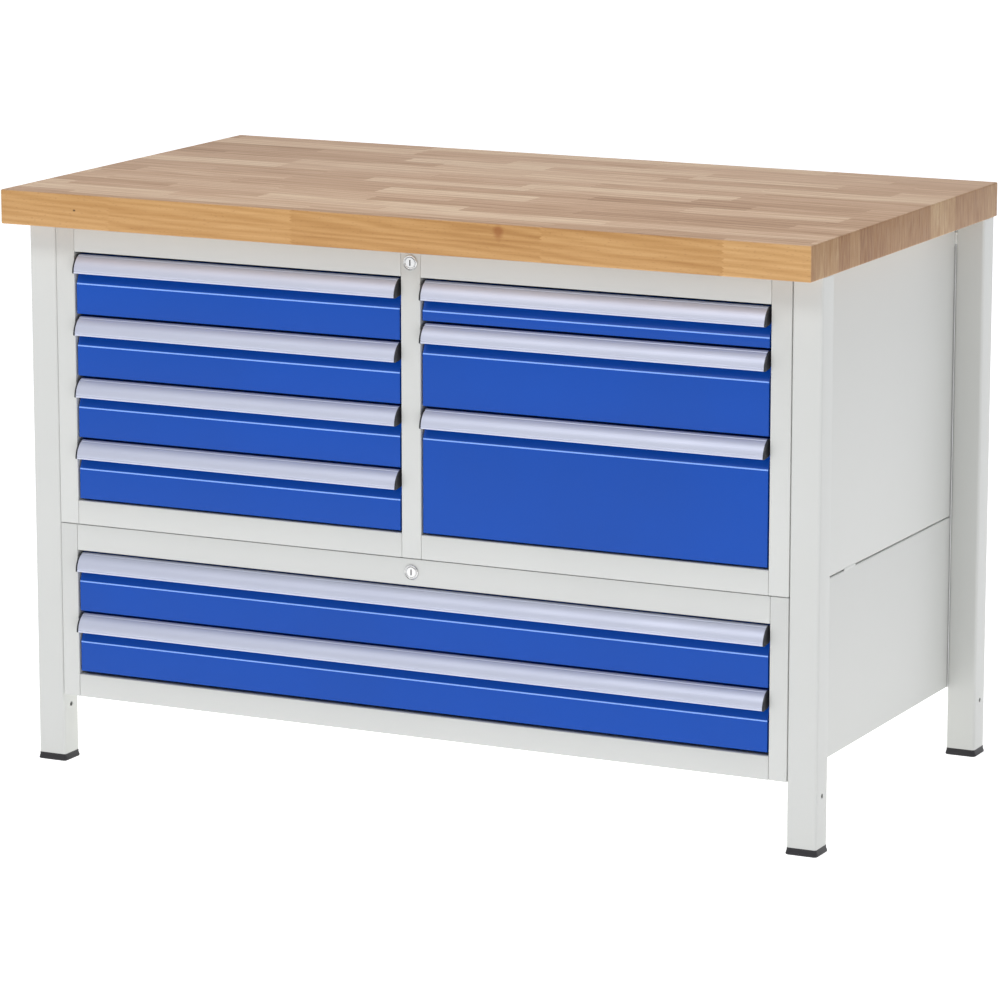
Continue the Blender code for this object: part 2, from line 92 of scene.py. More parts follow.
def oiled_beech():
    """Beech: pinkish brown staves of uneven tone, long fine grain, and short ray flecks."""
    material, tree, shader, place = start_material(
        "oiled_beech", IOR=1.5, Specular_IOR_Level=0.35)
    axes = add_node(tree, "ShaderNodeSeparateXYZ", {0: place}).outputs
    x, y, z = axes["X"], axes["Y"], axes["Z"]
    # staves, of slightly uneven width
    phase = add_node(tree, "ShaderNodeMath", {0: y, 1: 31.0},
                     operation="MULTIPLY").outputs[0]
    sway = add_node(tree, "ShaderNodeMath", {0: phase},
                    operation="SINE").outputs[0]
    swayed = add_node(tree, "ShaderNodeMath", {0: sway, 1: 0.007, 2: y},
                      operation="MULTIPLY_ADD").outputs[0]
    row = add_node(tree, "ShaderNodeMath", {0: swayed, 1: STAVE_WIDTH},
                   operation="DIVIDE").outputs[0]
    stave = add_node(tree, "ShaderNodeMath", {0: row}, operation="FLOOR").outputs[0]
    stave_random = add_node(tree, "ShaderNodeTexWhiteNoise", {"W": stave},
                            noise_dimensions="1D").outputs["Value"]
    # finger joints run down the height of a stave, so their teeth show on the long edge
    tooth = add_node(tree, "ShaderNodeMath", {0: z, 1: FINGER_PITCH / 2},
                     operation="PINGPONG").outputs[0]
    reach = add_node(tree, "ShaderNodeMath", {0: tooth, 1: 2 * FINGER_LENGTH / FINGER_PITCH},
                     operation="MULTIPLY").outputs[0]
    along = add_node(tree, "ShaderNodeMath", {0: x, 1: reach}, operation="ADD").outputs[0]
    length = add_node(tree, "ShaderNodeMath", {0: stave_random, 1: 0.5 * STAVE_LENGTH, 2: 0.7 * STAVE_LENGTH},
                      operation="MULTIPLY_ADD").outputs[0]
    count = add_node(tree, "ShaderNodeMath", {0: along, 1: length}, operation="DIVIDE").outputs[0]
    shifted = add_node(tree, "ShaderNodeMath", {0: stave_random, 1: 17.0, 2: count},
                       operation="MULTIPLY_ADD").outputs[0]
    piece = add_node(tree, "ShaderNodeMath", {0: shifted}, operation="FLOOR").outputs[0]
    # the front stave has its own joints
    front_piece = 0.0
    for joint in FRONT_JOINTS:
        past = add_node(tree, "ShaderNodeMath", {0: along, 1: joint},
                        operation="GREATER_THAN").outputs[0]
        front_piece = add_node(tree, "ShaderNodeMath", {0: past, 1: front_piece},
                               operation="ADD").outputs[0]
    is_front = add_node(tree, "ShaderNodeMath", {0: y, 1: -350 * MM + 0.4 * STAVE_WIDTH},
                        operation="LESS_THAN").outputs[0]
    piece = add_node(tree, "ShaderNodeMix", {0: is_front, 2: piece, 3: front_piece},
                     data_type="FLOAT").outputs[0]
    label = add_node(tree, "ShaderNodeCombineXYZ", {0: stave, 1: piece}).outputs[0]
    tone = add_node(tree, "ShaderNodeTexWhiteNoise", {"Vector": label},
                    noise_dimensions="2D").outputs
    # grain: close together across a stave, drawn out along it
    own = add_node(tree, "ShaderNodeVectorMath", {0: tone["Color"], 1: (9, 9, 9)},
                   operation="MULTIPLY").outputs[0]
    moved = add_node(tree, "ShaderNodeVectorMath", {0: place, 1: own}).outputs[0]
    stretched = add_node(tree, "ShaderNodeMapping", {"Vector": moved, "Scale": (3.4, 95, 52)})
    grain = add_node(tree, "ShaderNodeTexNoise",
                     {"Vector": stretched.outputs[0], "Scale": 1.0, "Detail": 5.0,
                      "Roughness": 0.62, "Distortion": 0.7}).outputs["Fac"]
    fine_map = add_node(tree, "ShaderNodeMapping", {"Vector": moved, "Scale": (14, 620, 420)})
    fine = add_node(tree, "ShaderNodeTexNoise", {"Vector": fine_map.outputs[0], "Scale": 1.0,
                                                 "Detail": 2.0}).outputs["Fac"]
    fleck_map = add_node(tree, "ShaderNodeMapping", {"Vector": place, "Scale": (170, 900, 620)})
    fleck = add_node(tree, "ShaderNodeTexNoise", {"Vector": fleck_map.outputs[0], "Scale": 1.0,
                                                  "Detail": 1.0}).outputs["Fac"]
    flecks = add_node(tree, "ShaderNodeMapRange", {0: fleck, 1: 0.62, 2: 0.72, 3: 0.0, 4: 1.0})
    # growth rings about 8 mm apart, which run out into arches along a stave
    ring_map = add_node(tree, "ShaderNodeMapping", {"Vector": moved, "Scale": (3.2, 40, 62)})
    rings = add_node(tree, "ShaderNodeTexWave",
                     {"Vector": ring_map.outputs[0], "Scale": 1.0, "Distortion": 9.0,
                      "Detail": 3.0, "Detail Scale": 0.8}, bands_direction="DIAGONAL"
                     ).outputs["Fac"]
    # tone of each piece of stave, with its grain
    swing = add_node(tree, "ShaderNodeMath", {0: grain, 1: 0.62, 2: -0.31},
                     operation="MULTIPLY_ADD").outputs[0]
    swing = add_node(tree, "ShaderNodeMath", {0: rings, 1: 0.2, 2: swing},
                     operation="MULTIPLY_ADD").outputs[0]
    level = add_node(tree, "ShaderNodeMath", {0: tone["Value"], 1: 0.54, 2: 0.12},
                     operation="MULTIPLY_ADD").outputs[0]
    level = add_node(tree, "ShaderNodeMath", {0: level, 1: swing}, operation="ADD").outputs[0]
    level = add_node(tree, "ShaderNodeMath", {0: fine, 1: 0.3, 2: level},
                     operation="MULTIPLY_ADD").outputs[0]
    top_tint = add_node(tree, "ShaderNodeValToRGB", {0: level})
    edge_tint = add_node(tree, "ShaderNodeValToRGB", {0: level})
    for ramp, colours in ((top_tint, ("#8A674D", "#B08E6F", "#C5A486", "#DAC1A2")),
                          (edge_tint, ("#98662F", "#B88A52", "#C99D66", "#D9B480"))):
        stops = ramp.color_ramp.elements
        stops[0].color = linear_colour(colours[0])
        stops[1].color = linear_colour(colours[3])
        stops.new(0.38).color = linear_colour(colours[1])
        stops.new(0.70).color = linear_colour(colours[2])
    # only the planed long edge has the golden tone, the end grain and the top do not
    facing = add_node(tree, "ShaderNodeNewGeometry").outputs["Normal"]
    toward = add_node(tree, "ShaderNodeVectorMath", {0: facing, 1: (0, -1, 0)},
                      operation="DOT_PRODUCT").outputs["Value"]
    golden = add_node(tree, "ShaderNodeMapRange", {0: toward, 1: 0.5, 2: 0.95, 3: 0.0, 4: 1.0})
    golden = add_node(tree, "ShaderNodeMath", {0: golden.outputs[0], 1: is_front},
                      operation="MULTIPLY").outputs[0]
    wood = add_node(tree, "ShaderNodeMix",
                    {0: golden, 6: top_tint.outputs[0], 7: edge_tint.outputs[0]},
                    data_type="RGBA").outputs[2]
    # end grain drinks more oil and goes darker
    sideways = add_node(tree, "ShaderNodeVectorMath", {0: facing, 1: (1, 0, 0)},
                        operation="DOT_PRODUCT").outputs["Value"]
    sideways = add_node(tree, "ShaderNodeMath", {0: sideways},
                        operation="ABSOLUTE").outputs[0]
    end_grain = add_node(tree, "ShaderNodeMapRange",
                         {0: sideways, 1: 0.5, 2: 0.95, 3: 0.0, 4: 1.0}).outputs[0]
    streak_map = add_node(tree, "ShaderNodeMapping", {"Vector": moved, "Scale": (1, 260, 30)})
    streaks = add_node(tree, "ShaderNodeTexNoise", {"Vector": streak_map.outputs[0],
                                                    "Scale": 1.0, "Detail": 3.0}).outputs["Fac"]
    end_tone = add_node(tree, "ShaderNodeMath", {0: tone["Value"], 1: 0.45},
                        operation="MULTIPLY").outputs[0]
    end_level = add_node(tree, "ShaderNodeMath", {0: streaks, 1: 0.75, 2: end_tone},
                         operation="MULTIPLY_ADD").outputs[0]
    end_tint = add_node(tree, "ShaderNodeValToRGB", {0: end_level})
    stops = end_tint.color_ramp.elements
    stops[0].position = 0.2
    stops[0].color = linear_colour("#784F2F")
    stops[1].color = linear_colour("#C1A67E")
    stops.new(0.48).color = linear_colour("#966E48")
    stops.new(0.70).color = linear_colour("#A6825A")
    wood = add_node(tree, "ShaderNodeMix",
                    {0: end_grain, 6: wood, 7: end_tint.outputs[0]}, data_type="RGBA").outputs[2]
    fleck_share = add_node(tree, "ShaderNodeMath", {0: flecks.outputs[0], 1: 0.25},
                           operation="MULTIPLY").outputs[0]
    wood = add_node(tree, "ShaderNodeMix",
                    {0: fleck_share, 6: wood, 7: linear_colour("#7A4A28")},
                    data_type="RGBA").outputs[2]
    # glue lines
    across = add_node(tree, "ShaderNodeMath", {0: row}, operation="FRACT").outputs[0]
    near_line = add_node(tree, "ShaderNodeMath", {0: across, 1: 0.5},
                         operation="PINGPONG").outputs[0]
    line = add_node(tree, "ShaderNodeMapRange", {0: near_line, 1: 0.0, 2: 0.014, 3: 0.3, 4: 0.0})
    wood = add_node(tree, "ShaderNodeMix",
                    {0: line.outputs[0], 6: wood, 7: linear_colour("#6E4428")},
                    data_type="RGBA").outputs[2]
    # a knot and a pin hole on the long edge
    for middle, size, colour, strength in (
            (KNOT_PLACE, (8 * MM, 12 * MM, 11 * MM), "#8E4E22", 0.6),
            (SPECK_PLACE, (2.4 * MM, 3 * MM, 1.6 * MM), "#3A2416", 0.9)):
        offset = add_node(tree, "ShaderNodeVectorMath", {0: place, 1: middle},
                          operation="SUBTRACT").outputs[0]
        scaled = add_node(tree, "ShaderNodeVectorMath", {0: offset, 1: size},
                          operation="DIVIDE").outputs[0]
        wobble = add_node(tree, "ShaderNodeMath", {0: grain, 1: 1.6, 2: -0.8},
                          operation="MULTIPLY_ADD").outputs[0]
        distance = add_node(tree, "ShaderNodeVectorMath", {0: scaled},
                            operation="LENGTH").outputs["Value"]
        distance = add_node(tree, "ShaderNodeMath", {0: distance, 1: wobble},
                            operation="ADD").outputs[0]
        spot = add_node(tree, "ShaderNodeMapRange",
                        {0: distance, 1: 0.35, 2: 1.1, 3: strength, 4: 0.0})
        wood = add_node(tree, "ShaderNodeMix",
                        {0: spot.outputs[0], 6: wood, 7: linear_colour(colour)},
                        data_type="RGBA").outputs[2]
    tree.links.new(wood, shader.inputs["Base Color"])
    sheen = add_node(tree, "ShaderNodeMapRange", {0: grain, 1: 0.3, 2: 0.7, 3: 0.52, 4: 0.42})
    tree.links.new(sheen.outputs[0], shader.inputs["Roughness"])
    bump = add_node(tree, "ShaderNodeBump", {"Height": fine, "Strength": 0.12,
                                             "Distance": 0.2 * MM})
    tree.links.new(bump.outputs[0], shader.inputs["Normal"])
    return material


def finish_piece(name, shape, material, body, smooth_angle=35, recalculate=True):
    """Turn a bmesh into a piece at the origin that moves with a body."""
    if recalculate:
        bmesh.ops.recalc_face_normals(shape, faces=shape.faces)
    mesh = bpy.data.meshes.new(name)
    shape.to_mesh(mesh)
    shape.free()
    mesh.materials.append(material)
    mesh.shade_smooth()
    mesh.set_sharp_from_angle(angle=math.radians(smooth_angle))
    piece = bpy.data.objects.new(name, mesh)
    bpy.context.scene.collection.objects.link(piece)
    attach(piece, body)
    return piece


def add_block(shape, low, high, radius=0.0, segments=3):
    """A cuboid between two corners, with all its edges rounded."""
    corner = bmesh.ops.create_cube(shape, size=1)["verts"]
    for vert in corner:
        for axis in range(3):
            middle = (low[axis] + high[axis]) / 2
            vert.co[axis] = middle + vert.co[axis] * (high[axis] - low[axis])
    if radius > 0:
        edges = {edge for vert in corner for edge in vert.link_edges}
        bmesh.ops.bevel(shape, geom=list(edges), offset=radius, segments=segments,
                        profile=0.5, affect="EDGES", clamp_overlap=True)


BEECH = oiled_beech()
worktop_low, worktop_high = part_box("worktop")
worktop_shape = bmesh.new()
add_block(worktop_shape, worktop_low, worktop_high, 2.2 * MM, 4)
worktop = finish_piece("worktop_slab", worktop_shape, BEECH, "bench")
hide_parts("worktop")

# ---- Legs ----
# Rolled rectangular steel tube, 44 x 40 mm, powder coated light grey. A hole goes straight
# through each leg near its foot. The coat rounds the corners and shows a fine orange peel.

LEG_CORNER = 4 * MM
LEG_WALL = 2 * MM
HOLE_RADIUS = 3.5 * MM
HOLE_HEIGHT = 82 * MM


def powder_coat(name, colour, shade, roughness, specular, peel):
    """Baked powder coat: an even colour with a slight drift, gloss, and orange peel bump."""
    material, tree, shader, place = start_material(
        name, IOR=1.5, Specular_IOR_Level=specular)
    drift = add_node(tree, "ShaderNodeTexNoise", {"Vector": place, "Scale": 3.5,
                                                  "Detail": 3.0}).outputs["Fac"]
    speckle = add_node(tree, "ShaderNodeTexNoise", {"Vector": place, "Scale": 900.0,
                                                    "Detail": 1.0}).outputs["Fac"]
    mixed = add_node(tree, "ShaderNodeMath", {0: speckle, 1: 0.35, 2: drift},
                     operation="MULTIPLY_ADD").outputs[0]
    share = add_node(tree, "ShaderNodeMapRange", {0: mixed, 1: 0.4, 2: 0.95, 3: 0.0, 4: 1.0})
    tint = add_node(tree, "ShaderNodeMix",
                    {0: share.outputs[0], 6: linear_colour(shade), 7: linear_colour(colour)},
                    data_type="RGBA").outputs[2]
    tree.links.new(tint, shader.inputs["Base Color"])
    # orange peel cells are about 1.5 mm across
    orange_peel = add_node(tree, "ShaderNodeTexNoise", {"Vector": place, "Scale": 650.0,
                                                        "Detail": 2.0}).outputs["Fac"]
    gloss = add_node(tree, "ShaderNodeMapRange",
                     {0: drift, 1: 0.3, 2: 0.7, 3: roughness - 0.04, 4: roughness + 0.05})
    tree.links.new(gloss.outputs[0], shader.inputs["Roughness"])
    bump = add_node(tree, "ShaderNodeBump", {"Height": orange_peel, "Strength": peel,
                                             "Distance": 0.05 * MM})
    tree.links.new(bump.outputs[0], shader.inputs["Normal"])
    return material


GREY_COAT = powder_coat("light_grey_powder_coat", "#CECFCB", "#C9CAC6", 0.40, 0.5, 0.22)


def arc_points(centre, radius, start, end, steps):
    """Points along an arc, with angles in degrees."""
    angles = [math.radians(start + (end - start) * step / steps) for step in range(steps + 1)]
    return [(centre[0] + radius * math.cos(a), centre[1] + radius * math.sin(a)) for a in angles]


def rounded_outline(x0, y0, x1, y1, radius, steps=6):
    """A rectangle with rounded corners, counterclockwise."""
    centres = ((x1 - radius, y1 - radius), (x0 + radius, y1 - radius),
               (x0 + radius, y0 + radius), (x1 - radius, y0 + radius))
    points = []
    for turn, centre in enumerate(centres):
        points += arc_points(centre, radius, 90 * turn, 90 * turn + 90, steps)
    return points


AXES = {"X": lambda a, b, along: (along, a, b), "Y": lambda a, b, along: (a, along, b),
        "Z": lambda a, b, along: (a, b, along)}


def add_prism(shape, outline, axis, start, end):
    """A closed outline drawn out along an axis."""
    rings = [[shape.verts.new(AXES[axis](a, b, along)) for a, b in outline]
             for along in (start, end)]
    count = len(outline)
    for at in range(count):
        after = (at + 1) % count
        shape.faces.new((rings[0][at], rings[0][after], rings[1][after], rings[1][at]))
    shape.faces.new(reversed(rings[0]))
    shape.faces.new(rings[1])


def add_tube(shape, outer, inner, axis, start, end):
    """A tube with open ends, between two outlines of as many points."""
    rings = [[shape.verts.new(AXES[axis](a, b, along)) for a, b in outline]
             for outline in (outer, inner) for along in (start, end)]
    outside_start, outside_end, inside_start, inside_end = rings
    count = len(outer)
    for at in range(count):
        after = (at + 1) % count
        for near, far in ((outside_start, outside_end), (inside_end, inside_start),
                          (inside_start, outside_start), (outside_end, inside_end)):
            shape.faces.new((near[at], near[after], far[after], far[at]))


def add_drilled_leg(shape, low, high):
    """A tube leg with rounded corners, open at both ends; the round holes in its two side walls are cut
    afterwards.
    """
    outer = rounded_outline(low.x, low.y, high.x, high.y, LEG_CORNER)
    inner = rounded_outline(low.x + LEG_WALL, low.y + LEG_WALL, high.x - LEG_WALL,
                            high.y - LEG_WALL, LEG_CORNER - LEG_WALL)
    add_tube(shape, outer, inner, "Z", low.z, high.z)


for row in ("front", "rear"):
    for side in ("left", "right"):
        low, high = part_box(f"{row}_{side}_leg")
        leg_shape = bmesh.new()
        add_drilled_leg(leg_shape, low, high)
        leg = finish_piece(f"{row}_{side}_tube", leg_shape, GREY_COAT, "bench")
        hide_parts(f"{row}_{side}_leg")
        drill_shape = bmesh.new()
        bmesh.ops.create_cone(drill_shape, cap_ends=True, segments=40, radius1=HOLE_RADIUS,
                              radius2=HOLE_RADIUS, depth=0.1)
        for vert in drill_shape.verts:
            vert.co = Vector((vert.co.z + (low.x + high.x) / 2,
                              vert.co.x + (low.y + high.y) / 2, vert.co.y + HOLE_HEIGHT))
        bmesh.ops.recalc_face_normals(drill_shape, faces=drill_shape.faces)
        drill_mesh = bpy.data.meshes.new("drill")
        drill_shape.to_mesh(drill_mesh)
        drill_shape.free()
        drill = bpy.data.objects.new("drill", drill_mesh)
        bpy.context.scene.collection.objects.link(drill)
        cut = leg.modifiers.new("hole", "BOOLEAN")
        cut.object = drill
        graph = bpy.context.evaluated_depsgraph_get()
        drilled = bpy.data.meshes.new_from_object(leg.evaluated_get(graph))
        leg.modifiers.clear()
        leg.data = drilled
        drilled.set_sharp_from_angle(angle=math.radians(35))
        bpy.data.objects.remove(drill)

# ---- Foot caps ----
# Injection-moulded black polythene caps, pressed over the tube ends. They flare towards the
# floor, and have a soft satin skin.


def moulded_plastic(name, colour, shade, roughness):
    """Moulded plastic: one colour with faint mottling and a fine spark-eroded grain."""
    material, tree, shader, place = start_material(name, IOR=1.49, Specular_IOR_Level=0.45)
    mottle = add_node(tree, "ShaderNodeTexNoise", {"Vector": place, "Scale": 60.0,
                                                   "Detail": 3.0}).outputs["Fac"]
    tint = add_node(tree, "ShaderNodeMix",
                    {0: mottle, 6: linear_colour(colour), 7: linear_colour(shade)},
                    data_type="RGBA").outputs[2]
    tree.links.new(tint, shader.inputs["Base Color"])
    skin = add_node(tree, "ShaderNodeTexNoise", {"Vector": place, "Scale": 1400.0,
                                                 "Detail": 2.0}).outputs["Fac"]
    gloss = add_node(tree, "ShaderNodeMapRange",
                     {0: mottle, 1: 0.3, 2: 0.7, 3: roughness - 0.05, 4: roughness + 0.05})
    tree.links.new(gloss.outputs[0], shader.inputs["Roughness"])
    bump = add_node(tree, "ShaderNodeBump", {"Height": skin, "Strength": 0.25,
                                             "Distance": 0.05 * MM})
    tree.links.new(bump.outputs[0], shader.inputs["Normal"])
    return material


BLACK_POLYTHENE = moulded_plastic("black_polythene", "#1D1C1F", "#2A292C", 0.5)
FOOT_COLLAR = 3.5 * MM

for row in ("front", "rear"):
    for side in ("left", "right"):
        node = f"{row}_{side}_foot"
        low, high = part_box(node)
        tube_low, tube_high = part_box(f"{row}_{side}_leg")
        flare = tube_low.x - low.x
        top = tube_low.z
        # (how far the wall stands out from the tube, height) from the floor up
        profile = [(flare - 0.8 * MM, 0), (flare, 0.8 * MM), (flare * 0.95, 2.5 * MM),
                   (0.35 * MM, top - FOOT_COLLAR), (0.35 * MM, top - 0.3 * MM),
                   (-0.3 * MM, top)]
        foot_shape = bmesh.new()
        rings = []
        for out, height in profile:
            ring = rounded_outline(tube_low.x - out, tube_low.y - out, tube_high.x + out,
                                   tube_high.y + out, LEG_CORNER + out, 5)
            rings.append([foot_shape.verts.new((a, b, height)) for a, b in ring])
        for lower, upper in zip(rings, rings[1:]):
            for at in range(len(lower)):
                after = (at + 1) % len(lower)
                foot_shape.faces.new((lower[at], lower[after], upper[after], upper[at]))
        foot_shape.faces.new(reversed(rings[0]))
        foot_shape.faces.new(rings[-1])
        foot = finish_piece(f"{node}_cap", foot_shape, BLACK_POLYTHENE, "bench", 50)
        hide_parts(node)

# ---- Drawer housings ----
# Two boxes folded from 1.5 mm sheet, stacked and tacked together, and coated like the legs.
# The upper one's side walls reach the rear legs near the top, where they are welded on.

SHEET = 1.5 * MM
FOLD_RADIUS = 2.0 * MM
JOINT_EASE = 0.5 * MM           # the folds leave a groove where the boxes meet

REAR_GAP = 3 * MM               # between the upper side walls and the rear legs

housing_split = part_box("upper_housing")[0].z
rear_leg_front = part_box("rear_right_leg")[0].y
for level in ("upper", "lower"):
    low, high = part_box(f"{level}_housing")
    rear = rear_leg_front - (REAR_GAP if level == "upper" else REAR_GAP / 2)
    bottom = low.z + (JOINT_EASE if level == "upper" else 0)
    top = high.z - (JOINT_EASE if level == "lower" else 0)
    outer = rounded_outline(low.x, bottom, high.x, top, FOLD_RADIUS, 5)
    inner = rounded_outline(low.x + SHEET, bottom + SHEET, high.x - SHEET, top - SHEET,
                            FOLD_RADIUS - SHEET, 5)
    housing_shape = bmesh.new()
    add_tube(housing_shape, outer, inner, "Y", low.y, rear)
    housing = finish_piece(f"{level}_housing_shell", housing_shape, GREY_COAT, "bench")
    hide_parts(f"{level}_housing")

TAB_HEIGHT = 40 * MM
TAB_REACH = 8 * MM              # back from the leg, over the side wall
LINK_LENGTH = 42 * MM           # of the strap that bridges the joint between the boxes
LINK_PLACE = -84 * MM
upper_low, upper_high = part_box("upper_housing")
tab_shape = bmesh.new()
for outer_x, inward in ((upper_low.x, 1), (upper_high.x, -1)):
    near_x, far_x = sorted((outer_x - inward * 0.1 * MM, outer_x + inward * SHEET))
    add_block(tab_shape, (near_x, rear_leg_front - TAB_REACH, upper_high.z - TAB_HEIGHT),
              (far_x, upper_high.y, upper_high.z - FOLD_RADIUS), 0.4 * MM, 2)
    near_x, far_x = sorted((outer_x - inward * 0.15 * MM, outer_x + inward * 0.6 * MM))
    add_block(tab_shape, (near_x, LINK_PLACE - LINK_LENGTH / 2, housing_split - 2.6 * MM),
              (far_x, LINK_PLACE + LINK_LENGTH / 2, housing_split + 2.4 * MM), 0.3 * MM, 2)
tabs = finish_piece("housing_side_tabs", tab_shape, GREY_COAT, "bench")


def bead_tree(bead_material):
    """Overlapping flattened beads laid along a guide mesh's points."""
    tree = bpy.data.node_groups.new("weld_beads", "GeometryNodeTree")
    tree.is_modifier = True
    tree.interface.new_socket("Geometry", in_out="INPUT", socket_type="NodeSocketGeometry")
    tree.interface.new_socket("Bead Radius", in_out="INPUT", socket_type="NodeSocketFloat")
    tree.interface.new_socket("Geometry", in_out="OUTPUT", socket_type="NodeSocketGeometry")
    given = add_node(tree, "NodeGroupInput").outputs
    bead = add_node(tree, "GeometryNodeMeshUVSphere",
                    {"Segments": 12, "Rings": 8, "Radius": given["Bead Radius"]})
    uneven = add_node(tree, "FunctionNodeRandomValue",
                      {2: 0.85, 3: 1.15, "Seed": 4}, data_type="FLOAT").outputs[1]
    laid = add_node(tree, "GeometryNodeInstanceOnPoints",
                    {"Points": given["Geometry"], "Instance": bead.outputs["Mesh"],
                     "Scale": uneven})
    real = add_node(tree, "GeometryNodeRealizeInstances", {0: laid.outputs[0]})
    smooth = add_node(tree, "GeometryNodeSetShadeSmooth", {0: real.outputs[0]})
    finished = add_node(tree, "GeometryNodeSetMaterial",
                        {0: smooth.outputs[0], "Material": bead_material})
    add_node(tree, "NodeGroupOutput", {0: finished.outputs[0]})
    return tree


def grown_piece(name, points, tree, inputs, body):
    """Run a Geometry Nodes tree on loose points, and keep the result as a plain mesh."""
    guide_mesh = bpy.data.meshes.new("guide")
    guide_mesh.from_pydata(points, [], [])
    guide = bpy.data.objects.new("guide", guide_mesh)
    bpy.context.scene.collection.objects.link(guide)
    modifier = guide.modifiers.new("grow", "NODES")
    modifier.node_group = tree
    sockets = {item.name: item.identifier for item in tree.interface.items_tree
               if item.in_out == "INPUT"}
    for label, value in inputs.items():
        modifier[sockets[label]] = value
    graph = bpy.context.evaluated_depsgraph_get()
    mesh = bpy.data.meshes.new_from_object(guide.evaluated_get(graph))
    bpy.data.objects.remove(guide)
    piece = bpy.data.objects.new(name, mesh)
    bpy.context.scene.collection.objects.link(piece)
    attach(piece, body)
    return piece


BEAD_RADIUS = 2.4 * MM
BEAD_PITCH = 2.0 * MM
BEAD_RUNS = ((3 * MM, 15 * MM), (21 * MM, 36 * MM))     # below the top of the side wall
bead_points = []
for weld_x in (upper_low.x - BEAD_RADIUS / 3, upper_high.x + BEAD_RADIUS / 3):
    for start, end in BEAD_RUNS:
        for step in range(int((end - start) / BEAD_PITCH) + 1):
            bead_points.append((weld_x, rear_leg_front,
                                upper_high.z - start - step * BEAD_PITCH))
welds = grown_piece("side_wall_welds", bead_points, bead_tree(GREY_COAT),
                    {"Bead Radius": BEAD_RADIUS}, "bench")

# ---- Front frames ----
# Each housing's mouth is framed by folded channels, butted and spot welded: full-height
# uprights with rails between them, so a hair-line joint shows at each rail's ends.

FRAME_EDGE = 0.9 * MM
BUTT_GAP = 0.3 * MM
RAIL_RETURN = 18 * MM
RUNNER_SET_IN = 2 * MM          # of the runner plates from the edges of an opening

upper_frame_low, upper_frame_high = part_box("upper_front_frame")
frame_front = upper_frame_low.y
frame_back = frame_front + RAIL_RETURN
frame_bottom = upper_frame_low.z + JOINT_EASE
stops = [upper_frame_low.x]
rails = []                      # left, right, bottom, top
for bank in ("left", "right"):
    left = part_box(f"{bank}_left_rails")[0].x - RUNNER_SET_IN
    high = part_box(f"{bank}_right_rails")[1]
    right = high.x + RUNNER_SET_IN
    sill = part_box(f"{bank}_left_rails")[0].z
    stops += [left, right]
    rails += [(left, right, frame_bottom, sill), (left, right, high.z, upper_frame_high.z)]
stops.append(upper_frame_high.x)

frame_shape = bmesh.new()
for left, right in zip(stops[::2], stops[1::2]):
    add_block(frame_shape, (left, frame_front, frame_bottom),
              (right, frame_back, upper_frame_high.z), FRAME_EDGE)
for left, right, bottom, top in rails:
    add_block(frame_shape, (left + BUTT_GAP, frame_front, bottom),
              (right - BUTT_GAP, frame_back, top), FRAME_EDGE)
upper_frame = finish_piece("upper_face_frame", frame_shape, GREY_COAT, "bench")
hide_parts("upper_front_frame")

for member in ("left_strip", "right_strip", "bottom_rail", "top_rail"):
    low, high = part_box(f"lower_{member}")
    member_shape = bmesh.new()
    add_block(member_shape, low, (high.x, frame_back, min(high.z, housing_split - JOINT_EASE)),
              FRAME_EDGE)
    piece = finish_piece(f"lower_face_{member}", member_shape, GREY_COAT, "bench")
    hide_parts(f"lower_{member}")

# ---- Locks ----
# Bright nickel-plated cylinder locks. A domed flange ring with a turned groove holds each
# barrel in the sheet, and the plug inside it has a narrow upright keyway.


def nickel_plate():
    """Bright nickel: a clean mirror with faint turning rings and tiny scuffs."""
    material, tree, shader, place = start_material(
        "bright_nickel", Metallic=1.0)
    scuff = add_node(tree, "ShaderNodeTexNoise", {"Vector": place, "Scale": 420.0,
                                                  "Detail": 4.0}).outputs["Fac"]
    tint = add_node(tree, "ShaderNodeMix",
                    {0: scuff, 6: linear_colour("#C9C9C8"), 7: linear_colour("#DADAD8")},
                    data_type="RGBA").outputs[2]
    tree.links.new(tint, shader.inputs["Base Color"])
    gloss = add_node(tree, "ShaderNodeMapRange", {0: scuff, 1: 0.3, 2: 0.7, 3: 0.12, 4: 0.24})
    tree.links.new(gloss.outputs[0], shader.inputs["Roughness"])
    bump = add_node(tree, "ShaderNodeBump", {"Height": scuff, "Strength": 0.08,
                                             "Distance": 0.05 * MM})
    tree.links.new(bump.outputs[0], shader.inputs["Normal"])
    return material


def add_turned(shape, profile, centre, steps=64):
    """Turn a closed (radius, forward) outline about an axis through centre along -Y."""
    rings = []
    for radius, forward in profile:
        ring = []
        for step in range(steps):
            angle = 2 * math.pi * step / steps
            ring.append(shape.verts.new((centre.x + radius * math.cos(angle),
                                         centre.y - forward,
                                         centre.z + radius * math.sin(angle))))
        rings.append(ring)
    for inner, outer in zip(rings, rings[1:] + rings[:1]):
        for at in range(steps):
            after = (at + 1) % steps
            shape.faces.new((inner[at], inner[after], outer[after], outer[at]))


NICKEL = nickel_plate()
# the black in the keyways is painted shadow, standing in for the shade deep in each slot
KEYWAY_PAINTED_SHADOW = moulded_plastic("keyway_shadow", "#0B0B0C", "#101011", 0.7)

